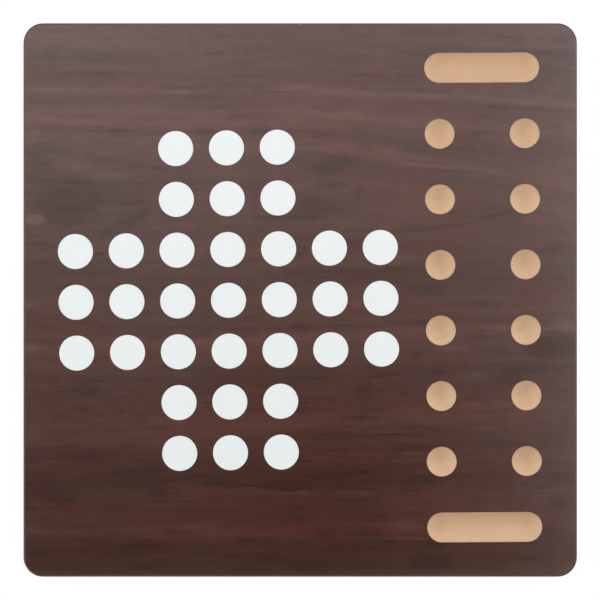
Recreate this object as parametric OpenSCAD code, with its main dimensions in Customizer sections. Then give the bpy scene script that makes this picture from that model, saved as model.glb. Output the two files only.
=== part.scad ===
// Square board for two games: peg or marble solitaire, and mancala.
// A fibreboard core carries a dark laminate on its face, a balancing laminate under it
// and an edge band all round. The solitaire field is a cross of white discs let in flush.
// The mancala field is two columns of round dishes between two long stores, all routed
// through the laminate into the core with one ball-nosed cutter.
// Millimetres, +Z up. The origin is on the table top, under the middle of the board,
// and +Y points to the back edge, away from the player.

/* [Board] */
// Width of the board over its edge band, left to right
board_w = 550; // [524:1:800]
// Depth of the board over its edge band, front to back
board_d = 550; // [530:1:800]
// Radius of the four corners, over the edge band
corner_r = 19.4; // [6:0.1:60]
// Thickness of the fibreboard core
core_t = 16; // [14:0.5:30]
// Thickness of each laminate, face and underside alike
laminate_t = 0.8; // [0.5:0.1:1.5]

/* [Edge band] */
// Thickness of the edge band
band_t = 2; // [1:0.1:3]
// Rounding of the band's upper and lower arris
band_round = 1.5; // [0.3:0.1:1.8]
// Gap where the two ends of the band meet, in the middle of the back edge
band_seam = 0.2; // [0.1:0.05:0.5]

/* [Solitaire field] */
// Middle of the field, to the right of the board's middle
solitaire_x = -71.2; // [-76:0.1:-60]
// Middle of the field, behind the board's middle
solitaire_y = -0.3; // [-30:0.1:30]
// Turn of the whole field, anticlockwise from above
solitaire_turn = 0.76; // [-2:0.02:2]
// Distance between neighbouring discs, both ways
spot_pitch = 50.45; // [40:0.05:54]
// Diameter of a white disc
spot_d = 34.7; // [24:0.1:38]
// Thickness of a white disc
spot_t = 3; // [1.6:0.1:6]
// Gap round a disc in its bored seat
spot_gap = 0.1; // [0.05:0.05:0.3]

/* [Mancala field] */
// Middle of the field, to the right of the board's middle
mancala_x = 181.7; // [178:0.1:186]
// Middle of the field, behind the board's middle
mancala_y = 2.6; // [-4:0.1:4]
// Turn of the whole field, anticlockwise from above
mancala_turn = 0.38; // [-1:0.02:1]
// Diameter of a dish at the face, and the width of a store
pit_d = 29.8; // [24:0.1:32]
// Depth of a dish and of a store
pit_depth = 7.3; // [4:0.1:9.5]
// Distance between the two columns, and between the round ends of a store
column_gap = 84.5; // [70:0.5:88]
// Distance from one row of dishes to the next
row_pitch = 65.1; // [50:0.1:66]
// Distance from the last row to the middle line of the store
store_step = 65.4; // [50:0.1:67]

/* [Feet] */
// Height of a rubber foot
foot_h = 8; // [6:0.5:15]
// Diameter of a foot where it meets the board
foot_d = 24; // [20:0.5:36]
// Diameter of a foot at the table top
foot_base_d = 20; // [18:0.5:34]
// Rounding of the foot's lower edge
foot_round = 1.2; // [0.5:0.1:2]
// Distance from the board's edges to the middle of a foot
foot_inset = 30; // [22:1:40]
// Depth of the well in the foot that the screw head sits in
foot_well_depth = 4.2; // [3.2:0.1:4.8]
// Diameter of that well
foot_well_d = 10; // [9:0.1:12]

/* [Washers and screws] */
// Diameter of the steel washer moulded into each foot
washer_d = 14; // [12.5:0.1:16]
// Thickness of the washer
washer_t = 1.2; // [0.8:0.1:1.5]
// Diameter of the screw's shank
screw_d = 4; // [3:0.1:4.6]
// Gap round the shank in the washer and the rubber
screw_gap = 0.25; // [0.1:0.05:0.4]
// Length of the shank that goes into the board
screw_bite = 7; // [5:0.5:8]
// Diameter of the screw's pan head
head_d = 8; // [7:0.1:8.6]
// Height of the screw's pan head
head_h = 2.4; // [1.8:0.1:3]
// Width of the slots of the cross recess
recess_w = 0.9; // [0.6:0.1:1.2]
// Length of the slots of the cross recess
recess_l = 4.4; // [3:0.1:5]
// Depth of the cross recess
recess_depth = 1.3; // [0.8:0.1:1.6]

/* [Hidden] */
$fn = 96;
// A cut runs this far past the face that it opens
past = 1;

// Heights of the layers above the table top
under_z = foot_h;
core_z = under_z + laminate_t;
face_z = core_z + core_t;
top_z = face_z + laminate_t;
board_t = top_z - under_z;

// Size of the panel inside its edge band
panel_w = board_w - 2 * band_t;
panel_d = board_d - 2 * band_t;
panel_r = corner_r - band_t;
// The arris stays inside the wall of the band
arris_r = min(band_round, 0.9 * band_t);

// The cross has seven discs each way, and its arms are three discs wide
spots_across = 7;
arm_width = 3;
middle_spot = (spots_across - 1) / 2;
arm_reach = (arm_width - 1) / 2;
column_names = "abcdefg";

// Six rows of two dishes, and the radius of the ball-nosed cutter that leaves that dish
pit_rows = 6;
cutter_r = (pow(pit_d / 2, 2) + pow(pit_depth, 2)) / (2 * pit_depth);
store_y = (pit_rows - 1) / 2 * row_pitch + store_step;

// Under the head lies the washer, and the shank ends in a point inside the core
washer_z = foot_well_depth;
shank_top = under_z + screw_bite;
point_h = 0.75 * screw_d;
// The head's dome starts this far above its outer rim
head_rim = 0.8;
foot_names = ["front_left", "front_right", "back_left", "back_right"];
foot_places = [for (y = [-1, 1], x = [-1, 1])
  [x * (board_w / 2 - foot_inset), y * (board_d / 2 - foot_inset), 0]];

laminate_brown = "#4a2f2b";
band_brown = "#4f3a37";
fibre_tan = "#c7a281";
backing_brown = "#3d2f2b";
disc_white = "#ecf0f0";
rubber_black = "#262628";
zinc_grey = "#b9bcc0";

function is_spot(column, row) =
  abs(column - middle_spot) <= arm_reach || abs(row - middle_spot) <= arm_reach;
function spot_name(column, row) = str("spot_", column_names[column], row + 1);
function quarter_arc(centre, r, from) =
  [for (step = [0 : 6]) centre + r * [cos(from + 15 * step), sin(from + 15 * step)]];

SPOTS = [for (row = [0 : spots_across - 1], column = [0 : spots_across - 1])
  if (is_spot(column, row)) [column, row]];

module on_solitaire_field() {
  translate([solitaire_x, solitaire_y, 0])
    rotate([0, 0, solitaire_turn])
      children();
}

module on_mancala_field() {
  translate([mancala_x, mancala_y, 0])
    rotate([0, 0, mancala_turn])
      children();
}

module at_spot(column, row) {
  on_solitaire_field()
    translate([(column - middle_spot) * spot_pitch, (row - middle_spot) * spot_pitch, 0])
      children();
}

module at_feet() {
  for (place = foot_places)
    translate(place)
      children();
}

// Rectangle with round corners
module rounded_outline(w, d, r) {
  square([w - 2 * r, d], center = true);
  square([w, d - 2 * r], center = true);
  for (x = [-1, 1], y = [-1, 1])
    translate([x * (w / 2 - r), y * (d / 2 - r)])
      circle(r);
}

// Flat sheet of the panel's outline
module sheet(z, t) {
  translate([0, 0, z])
    linear_extrude(height = t)
      rounded_outline(panel_w, panel_d, panel_r);
}

// What the ball-nosed cutter takes away when it is plunged once
module dish_cut() {
  translate([0, 0, top_z - pit_depth + cutter_r])
    sphere(cutter_r);
}

// What it takes away when it travels from one column to the other
module store_cut() {
  for (side = [-1, 1])
    translate([side * column_gap / 2, 0, 0])
      dish_cut();
  translate([0, 0, top_z - pit_depth + cutter_r])
    rotate([0, 90, 0])
      cylinder(r = cutter_r, h = column_gap, center = true);
}

module mancala_cuts() {
  on_mancala_field() {
    for (row = [0 : pit_rows - 1], side = [-1, 1])
      translate([side * column_gap / 2, (row - (pit_rows - 1) / 2) * row_pitch, 0])
        dish_cut();
    for (side = [-1, 1])
      translate([0, side * store_y, 0])
        store_cut();
  }
}

// Flat-bottomed seats, bored from above to the depth of a disc
module spot_seats() {
  for (s = SPOTS)
    at_spot(s[0], s[1])
      translate([0, 0, top_z - spot_t])
        cylinder(d = spot_d + 2 * spot_gap, h = spot_t + past);
}

// Blind pilot holes, with the taper of the screw's point at their end
module pilot_holes() {
  at_feet() {
    translate([0, 0, under_z - past])
      cylinder(d = screw_d, h = shank_top - point_h - under_z + past);
    translate([0, 0, shank_top - point_h])
      cylinder(d1 = screw_d, d2 = 0, h = point_h);
  }
}

module core_board() {
  color(fibre_tan)
    difference() {
      sheet(core_z, core_t);
      spot_seats();
      mancala_cuts();
      pilot_holes();
    }
}

module top_laminate() {
  color(laminate_brown)
    difference() {
      sheet(face_z, laminate_t);
      spot_seats();
      mancala_cuts();
    }
}

module underside_laminate() {
  color(backing_brown)
    difference() {
      sheet(under_z, laminate_t);
      pilot_holes();
    }
}

// Section of the band: flat against the panel, rounded at both outer arrises
module band_section() {
  square([band_t - arris_r, board_t]);
  translate([0, arris_r])
    square([band_t, board_t - 2 * arris_r]);
  for (z = [arris_r, board_t - arris_r])
    translate([band_t - arris_r, z])
      circle(arris_r);
}

// Straight run of the band along Y, its inner face at the given distance from the middle
module band_run(reach, run) {
  translate([reach, 0, under_z])
    rotate([90, 0, 0])
      linear_extrude(height = run, center = true)
        band_section();
}

module band_corner() {
  translate([board_w / 2 - corner_r, board_d / 2 - corner_r, under_z])
    rotate_extrude(angle = 90)
      translate([panel_r, 0])
        band_section();
}

module edge_band() {
  color(band_brown)
    difference() {
      union() {
        for (turn = [0, 180])
          rotate([0, 0, turn]) {
            band_run(panel_w / 2, board_d - 2 * corner_r);
            rotate([0, 0, 90])
              band_run(panel_d / 2, board_w - 2 * corner_r);
            band_corner();
            mirror([1, 0, 0])
              band_corner();
          }
      }
      translate([-band_seam / 2, panel_d / 2 - past, under_z - past])
        cube([band_seam, band_t + 2 * past, board_t + 2 * past]);
    }
}

module spot(column, row) {
  color(disc_white)
    at_spot(column, row)
      translate([0, 0, top_z - spot_t])
        cylinder(d = spot_d, h = spot_t);
}

// Tapered rubber foot round a moulded-in washer, with a well for the screw head
module foot(place) {
  base_r = foot_base_d / 2;
  color(rubber_black)
    translate(place)
      difference() {
        rotate_extrude()
          polygon(concat(
            [[0, foot_h], [0, 0]],
            quarter_arc([base_r - foot_round, foot_round], foot_round, 270),
            [[foot_d / 2, foot_h]]
          ));
        translate([0, 0, -past])
          cylinder(d = foot_well_d, h = foot_well_depth + past);
        translate([0, 0, washer_z])
          cylinder(d = washer_d, h = washer_t);
        translate([0, 0, washer_z])
          cylinder(d = screw_d + 2 * screw_gap, h = foot_h - washer_z + past);
      }
}

module foot_washers() {
  color(zinc_grey)
    at_feet()
      translate([0, 0, washer_z])
        difference() {
          cylinder(d = washer_d, h = washer_t);
          translate([0, 0, -past])
            cylinder(d = screw_d + 2 * screw_gap, h = washer_t + 2 * past);
        }
}

// Pan-head screw, head down, with a cross recess
module foot_screw() {
  head_bottom = washer_z - head_h;
  dome_h = head_h - head_rim;
  difference() {
    rotate_extrude()
      polygon(concat(
        [[0, head_bottom]],
        [for (step = [1 : 6])
          [head_d / 2 * sin(15 * step), head_bottom + dome_h * (1 - cos(15 * step))]],
        [
          [head_d / 2, washer_z],
          [screw_d / 2, washer_z],
          [screw_d / 2, shank_top - point_h],
          [0, shank_top]
        ]
      ));
    for (turn = [0, 90])
      rotate([0, 0, turn])
        translate([-recess_l / 2, -recess_w / 2, head_bottom - past])
          cube([recess_l, recess_w, recess_depth + past]);
  }
}

module foot_screws() {
  color(zinc_grey)
    at_feet()
      foot_screw();
}

core_board();
top_laminate();
underside_laminate();
edge_band();
for (s = SPOTS)
  spot(s[0], s[1]);
for (i = [0 : len(foot_names) - 1])
  foot(foot_places[i]);
foot_washers();
foot_screws();
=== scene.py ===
"""Looks of the solitaire and mancala board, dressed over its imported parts.

Lengths are in metres, +Z is up and +Y points to the board's back edge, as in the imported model.
Patterns are worked out in millimetres, from each piece's Object coordinates.
"""

import functools
import logging
import math
import operator
from dataclasses import dataclass
from enum import Enum
from typing import Any, Iterable

import bpy
import numpy as np
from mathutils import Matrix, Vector


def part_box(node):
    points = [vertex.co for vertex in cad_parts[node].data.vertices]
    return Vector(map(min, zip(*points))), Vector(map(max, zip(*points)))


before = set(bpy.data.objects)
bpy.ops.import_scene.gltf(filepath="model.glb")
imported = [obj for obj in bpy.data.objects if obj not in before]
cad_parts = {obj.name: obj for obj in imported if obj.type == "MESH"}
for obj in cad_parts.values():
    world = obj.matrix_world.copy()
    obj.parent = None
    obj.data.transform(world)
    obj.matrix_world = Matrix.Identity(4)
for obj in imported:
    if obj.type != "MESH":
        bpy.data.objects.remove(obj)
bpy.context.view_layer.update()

LOG = logging.getLogger("board")
MM = 0.001  # metres in a millimetre
MOST_STOPS = 24  # stops that one colour ramp of grain bands takes
SEED_SHIFT = (1.0, 0.37, 0.71)  # where along x, y and z a seed of 1 moves a layer of noise
NOISE_MEAN = 0.5  # what the noise node gives on average
EVERY_HEIGHT = 1e6  # mm; half the height of a patch, so large that it is the same at each z
Colour = tuple[float, float, float]
Socket = bpy.types.NodeSocket
WHITE: Colour = (1.0, 1.0, 1.0)


class Slot(Enum):
    """The record's material slots."""

    FIBREBOARD = "fibreboard"
    FACE_LAMINATE = "face_laminate"
    BACKING_LAMINATE = "backing_laminate"
    EDGE_BAND = "edge_band"
    WHITE_DISC = "white_disc"
    FOOT_RUBBER = "foot_rubber"
    PLATED_STEEL = "plated_steel"


class Stroke(float, Enum):
    """How much a short stroke in the printed grain adds to the colour or takes away."""

    STRONG = -0.0078
    PORE = -0.0055
    FAINT = -0.0040
    GLINT = 0.0030
    LIGHT = 0.0072
    BRIGHT = 0.0180


class Tint(float, Enum):
    """How light a band of the printed grain is, from 0 for near black to 1 for pale pink."""

    INK = 0.04
    DARK = 0.12
    DEEP = 0.20
    DUSK = 0.27
    PLAIN = 0.36
    WARM = 0.47
    RUSSET = 0.58
    ROSE = 0.70
    PINK = 0.82
    PALE = 0.95


STRONG, PORE, FAINT, GLINT, LIGHT, BRIGHT = Stroke
INK, DARK, DEEP, DUSK, PLAIN, WARM, RUSSET, ROSE, PINK, PALE = Tint

# ---- Shader graph ----------------------------


class Value:
    """A number inside a finish's shader graph. Arithmetic on it adds Math nodes."""

    def __init__(self, graph: "Graph", socket: Socket) -> None:
        """Keeps the graph and the output that the number comes from."""
        self.graph = graph
        self.socket = socket

    def __add__(self, other: "Value | float") -> "Value":
        """Adds a number or a value."""
        return self.graph.math("ADD", self, other)

    __radd__ = __add__

    def __sub__(self, other: "Value | float") -> "Value":
        """Takes a number or a value away."""
        return self.graph.math("SUBTRACT", self, other)

    def __rsub__(self, other: float) -> "Value":
        """Takes this value away from a number."""
        return self.graph.math("SUBTRACT", other, self)

    def __mul__(self, other: "Value | float") -> "Value":
        """Multiplies by a number or a value."""
        return self.graph.math("MULTIPLY", self, other)

    __rmul__ = __mul__

    def __truediv__(self, other: "Value | float") -> "Value":
        """Divides by a number or a value."""
        return self.graph.math("DIVIDE", self, other)

    def clamped(self) -> "Value":
        """Holds the value between 0 and 1."""
        return self.graph.math("ADD", self, 0.0, clamp=True)

    def least(self, other: "Value | float") -> "Value":
        """The lower of the two."""
        return self.graph.math("MINIMUM", self, other)

    def most(self, other: "Value | float") -> "Value":
        """The higher of the two."""
        return self.graph.math("MAXIMUM", self, other)


@dataclass(frozen=True)
class Layer:
    """One layer of fractal noise in a finish."""

    grain: tuple[float, float, float]  # length of its features along x, y and z, in mm
    seed: float  # picks a part of the noise
    swing: float = 1.0  # what its usual range of -0.5 to 0.5 is multiplied by
    detail: float = 2.0  # how many finer layers it has
    roughness: float = 0.5  # how strong the finer layers are


@dataclass(frozen=True)
class Fade:
    """An even rise from 0 at one place to a full share at another."""

    low: float
    high: float
    share: float = 1.0


@dataclass(frozen=True)
class Relief:
    """How much a layer of noise shows as height."""

    height: float  # mm that a noise of 1 stands for
    strength: float


@dataclass(frozen=True)
class Patch:
    """A soft ellipse in the grain, such as a knot's shadow, a pore line or a light fleck."""

    across: float  # mm right of the middle
    back: float  # mm from the back edge
    long: float  # half its length
    deep: float  # half its depth
    lift: float  # what it adds at its middle
    turn: float = 0.0  # degrees; above 0 it falls towards the right


def patches(*rows: tuple[float, ...]) -> tuple[Patch, ...]:
    """A patch from each row of its fields."""
    return tuple(Patch(*row) for row in rows)


class Graph:
    """The shader graph of one finish, and the few kinds of nodes that the finishes are made of."""

    def __init__(self, name: str) -> None:
        """Makes an empty material and the Object coordinates in millimetres.

        Args:
            name: the material's name.
        """
        self.material = bpy.data.materials.new(name)
        self.material.use_nodes = True
        self.tree = self.material.node_tree
        self.tree.nodes.clear()
        place = self.add("TexCoord").outputs["Object"]
        scaled = self.add("VectorMath", {"operation": "SCALE"}, {0: place, "Scale": 1 / MM})
        self.place = scaled.outputs[0]
        parts = self.add("SeparateXYZ", {}, {0: self.place}).outputs
        self.x, self.y, self.z = (Value(self, part) for part in parts)

    def add(
        self,
        kind: str,
        settings: dict[str, Any] | None = None,
        inputs: dict[str | int, Any] | None = None,
    ) -> bpy.types.Node:
        """Adds a node, sets it up, then fills its sockets.

        Args:
            kind: the node's type, without the word ShaderNode.
            settings: the node's own settings; "stops" fills a colour ramp.
            inputs: for each socket, by name or number, a value or what feeds it.

        Returns:
            The new node.
        """
        node = self.tree.nodes.new("ShaderNode" + kind)
        for name, setting in (settings or {}).items():
            if name == "stops":
                self._fill_ramp(node.color_ramp, setting)
            else:
                setattr(node, name, setting)
        for key, given in (inputs or {}).items():
            source = given.socket if isinstance(given, Value) else given
            if isinstance(source, Socket):
                self.tree.links.new(source, node.inputs[key])
            else:
                node.inputs[key].default_value = source
        return node

    @staticmethod
    def _fill_ramp(ramp: bpy.types.ColorRamp, stops: Iterable[tuple[float, Colour]]) -> None:
        """Puts stops into a colour ramp.

        Args:
            ramp: the ramp, which starts with two stops.
            stops: for each stop, its place from 0 to 1 and its colour.
        """
        ordered = sorted(stops)
        while len(ramp.elements) < len(ordered):
            ramp.elements.new(0.5)
        for element, (place, _) in zip(ramp.elements, ordered):
            element.position = place
        for element, (_, colour) in zip(ramp.elements, ordered):
            element.color = (*colour, 1.0)

    def math(self, operation: str, *values: Value | float, clamp: bool = False) -> Value:
        """One Math node.

        Args:
            operation: the node's operation.
            values: its numbers, in order.
            clamp: whether the result is held between 0 and 1.

        Returns:
            The result.
        """
        settings = {"operation": operation, "use_clamp": clamp}
        return Value(self, self.add("Math", settings, dict(enumerate(values))).outputs[0])

    def vector(self, x: Value | float, y: Value | float, z: Value | float) -> Socket:
        """A vector of three numbers."""
        return self.add("CombineXYZ", {}, {0: x, 1: y, 2: z}).outputs[0]

    def vector_math(self, operation: str, *values: Any) -> Socket:
        """One Vector Math node: its operation, and its vectors or what feeds them."""
        node = self.add("VectorMath", {"operation": operation}, dict(enumerate(values)))
        return node.outputs[0]

    def noise(self, layer: Layer, place: Socket | None = None) -> Value:
        """Fractal noise about zero.

        Args:
            layer: its grain, strength and seed, which shifts where it is read.
            place: where it is read, in millimetres; the piece's own place if left out.

        Returns:
            The noise.
        """
        inputs = {
            "Vector": place or self.place,
            "Location": tuple(layer.seed * shift for shift in SEED_SHIFT),
            "Scale": tuple(1 / length for length in layer.grain),
        }
        at = self.add("Mapping", {"vector_type": "POINT"}, inputs).outputs[0]
        inputs = {"Vector": at, "Scale": 1.0, "Detail": layer.detail, "Roughness": layer.roughness}
        raw = Value(self, self.add("TexNoise", {}, inputs).outputs[0])
        return (raw - NOISE_MEAN) * layer.swing

    def layered(self, layers: Iterable[Layer], place: Socket) -> Value:
        """The sum of some layers of noise, all read at one place."""
        return total(self.noise(layer, place) for layer in layers)

    def patch(self, shape: Patch, place: Socket) -> Value:
        """A soft ellipse: 1 at its centre, falling evenly to 0 at its rim.

        Args:
            shape: its centre, its reach both ways and its turn.
            place: where it is read.

        Returns:
            The ellipse's mask.
        """
        inputs = {
            "Vector": place,
            "Location": (shape.across, shape.back, 0.0),
            "Rotation": (0.0, 0.0, math.radians(shape.turn)),
            "Scale": (shape.long, shape.deep, EVERY_HEIGHT),
        }
        at = self.add("Mapping", {"vector_type": "TEXTURE"}, inputs).outputs[0]
        cone = self.add("TexGradient", {"gradient_type": "SPHERICAL"}, {0: at})
        return Value(self, cone.outputs["Fac"])

    def patched(self, shapes: Iterable[Patch], place: Socket) -> Value:
        """The sum of soft ellipses, each with its own lift.

        They are added up from zero, one after the other, so that few numbers are held at a time.

        Args:
            shapes: the ellipses.
            place: where they are read.

        Returns:
            The sum.
        """
        held: Value | float = 0.0
        for shape in shapes:
            held = self.math("MULTIPLY_ADD", self.patch(shape, place), shape.lift, held)
        return held

    def between(self, value: Value, low: float, high: float) -> Value:
        """How far a value is from low to high, held between 0 and 1."""
        inputs = {"Value": value, "From Min": low, "From Max": high}
        return Value(self, self.add("MapRange", {"clamp": True}, inputs).outputs[0])

    def faded(self, value: Value, fade: Fade) -> Value:
        """A fade's share at a value."""
        return self.between(value, fade.low, fade.high) * fade.share

    def ramp(self, value: Value, stops: Iterable[tuple[float, Colour]]) -> Socket:
        """A colour for each value, through stops of (value from 0 to 1, colour)."""
        return self.add("ValToRGB", {"stops": stops}, {0: value}).outputs[0]

    def mix(self, share: Value | float, first: Any, second: Any) -> Socket:
        """A mix of two colours.

        Args:
            share: the second colour's share.
            first: the first colour, or what feeds it.
            second: the second colour, or what feeds it.

        Returns:
            The mixed colour.
        """
        colours = [(*c, 1.0) if isinstance(c, tuple) else c for c in (first, second)]
        inputs = {0: share, 6: colours[0], 7: colours[1]}
        return self.add("Mix", {"data_type": "RGBA"}, inputs).outputs[2]

    def bump(self, height: Value, relief: Relief) -> Socket:
        """A bumped normal.

        Args:
            height: the height about zero, as noise gives it.
            relief: how much of it shows.

        Returns:
            The normal.
        """
        inputs = {
            "Height": height + NOISE_MEAN,
            "Distance": relief.height * MM,
            "Strength": relief.strength,
        }
        return self.add("Bump", {}, inputs).outputs[0]

    def blend(self, share: Any, first: Any, second: Any) -> Socket:
        """A mix of two shaders, by the second one's share."""
        return self.add("MixShader", {}, {0: share, 1: first, 2: second}).outputs[0]

    def finish(self, colour: Any, **inputs: Any) -> bpy.types.Material:
        """Adds the surface shader and ends the graph.

        Args:
            colour: the base colour, or what feeds it.
            inputs: the shader's other sockets, with _ for each space.

        Returns:
            The finished material.
        """
        named = {name.replace("_", " "): given for name, given in inputs.items()}
        named["Base Color"] = (*colour, 1.0) if isinstance(colour, tuple) else colour
        shader = self.add("BsdfPrincipled", {}, named)
        self.add("OutputMaterial", {}, {"Surface": shader.outputs[0]})
        return self.material


def total(values: Iterable[Value]) -> Value:
    """The sum of some values, in their order."""
    return functools.reduce(operator.add, values)


# ---- Printed grain ---------------------------


@dataclass(frozen=True)
class GrainStrip:
    """Grain bands as they lie on one line from the back edge to the front edge."""

    across: float  # the line's place, in mm right of the board's middle
    bands: tuple[tuple[float, Tint], ...]  # distance from the back edge in mm, and tint


LEFT_STRIP = GrainStrip(-209.0, (
    (0, WARM), (20, WARM), (29, DUSK), (34, DARK), (44, DUSK), (50, DEEP), (58, DUSK),
    (62, PLAIN), (66, ROSE), (69, RUSSET), (74, PLAIN), (79, PLAIN), (84, WARM), (89, ROSE),
    (96, PINK), (100, RUSSET), (104, DUSK), (109, PLAIN), (114, WARM), (126, PLAIN), (136, WARM),
    (148, DUSK), (157, DARK), (200, DEEP), (216, PLAIN), (235, DEEP), (251, DARK), (266, DEEP),
    (276, PLAIN), (299, DUSK), (314, PLAIN), (320, RUSSET), (331, PLAIN), (341, WARM),
    (355, DEEP), (374, DUSK), (388, DUSK), (397, PLAIN), (407, RUSSET), (413, WARM), (419, DUSK),
    (425, DARK), (433, DEEP), (456, INK), (478, DEEP), (498, DUSK), (503, RUSSET), (509, PLAIN),
    (514, DARK), (524, INK), (550, INK),
))
INNER_STRIP = GrainStrip(-85.0, (
    (0, PLAIN), (13, DUSK), (19, WARM), (35, PLAIN), (47, DUSK), (56, DUSK), (66, RUSSET),
    (72, DUSK), (78, DUSK), (84, WARM), (89, RUSSET), (94, ROSE), (100, ROSE), (104, WARM),
    (109, DEEP), (114, WARM), (120, RUSSET), (126, WARM), (144, DUSK), (158, DARK), (166, DUSK),
    (174, WARM), (203, PLAIN), (209, DEEP), (226, WARM), (237, DEEP), (245, PLAIN), (265, DARK),
    (271, DUSK), (303, DEEP), (309, PLAIN), (315, PINK), (319, RUSSET), (325, PLAIN),
    (333, WARM), (350, DARK), (378, DUSK), (386, WARM), (394, RUSSET), (404, RUSSET),
    (412, PLAIN), (422, PLAIN), (434, DARK), (454, INK), (464, PLAIN), (478, DUSK), (496, DEEP),
    (502, PLAIN), (507, RUSSET), (514, DEEP), (521, INK), (550, INK),
))
CENTRE_STRIP = GrainStrip(45.0, (
    (0, WARM), (19, WARM), (27, PLAIN), (41, WARM), (49, PLAIN), (58, PLAIN), (62, PLAIN),
    (65, ROSE), (68, PALE), (77, RUSSET), (87, PALE), (93, PALE), (98, ROSE), (105, WARM),
    (108, PLAIN), (114, DUSK), (118, ROSE), (123, PINK), (128, RUSSET), (134, DUSK), (140, DEEP),
    (146, PLAIN), (152, RUSSET), (163, RUSSET), (179, WARM), (196, WARM), (203, PLAIN),
    (210, DUSK), (216, DARK), (224, DUSK), (232, WARM), (239, WARM), (243, DEEP), (247, INK),
    (252, INK), (257, DUSK), (265, WARM), (272, PLAIN), (279, RUSSET), (289, PLAIN), (293, WARM),
    (301, DUSK), (305, WARM), (310, ROSE), (320, WARM), (327, RUSSET), (334, PLAIN), (348, DARK),
    (362, DUSK), (374, DUSK), (382, DEEP), (389, WARM), (396, WARM), (402, DUSK), (410, DEEP),
    (416, DUSK), (424, DEEP), (432, DUSK), (438, DEEP), (446, INK), (460, INK), (466, DUSK),
    (481, DEEP), (491, DUSK), (499, PLAIN), (506, PLAIN), (511, DEEP), (515, DARK), (530, INK),
    (550, INK),
))
RIGHT_STRIP = GrainStrip(178.0, (
    (0, WARM), (8, WARM), (16, DEEP), (25, DARK), (44, DARK), (52, PLAIN), (60, RUSSET),
    (64, ROSE), (68, ROSE), (72, DUSK), (76, DUSK), (82, PLAIN), (88, WARM), (92, RUSSET),
    (96, RUSSET), (100, PLAIN), (110, DEEP), (114, PLAIN), (118, WARM), (122, ROSE),
    (125, PLAIN), (128, DUSK), (134, PLAIN), (146, WARM), (164, DUSK), (174, DUSK), (192, PLAIN),
    (206, WARM), (215, PLAIN), (235, DUSK), (252, DEEP), (264, DUSK), (268, PLAIN), (284, WARM),
    (291, PLAIN), (295, DUSK), (299, PLAIN), (303, PINK), (307, RUSSET), (312, WARM),
    (318, WARM), (327, DUSK), (333, PLAIN), (340, DARK), (358, DEEP), (368, DUSK), (374, PLAIN),
    (378, RUSSET), (391, RUSSET), (402, PLAIN), (408, DUSK), (419, DUSK), (426, PLAIN),
    (440, DUSK), (454, DUSK), (463, PLAIN), (474, WARM), (482, WARM), (500, WARM), (510, DEEP),
    (533, DEEP), (550, DUSK),
))
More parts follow.
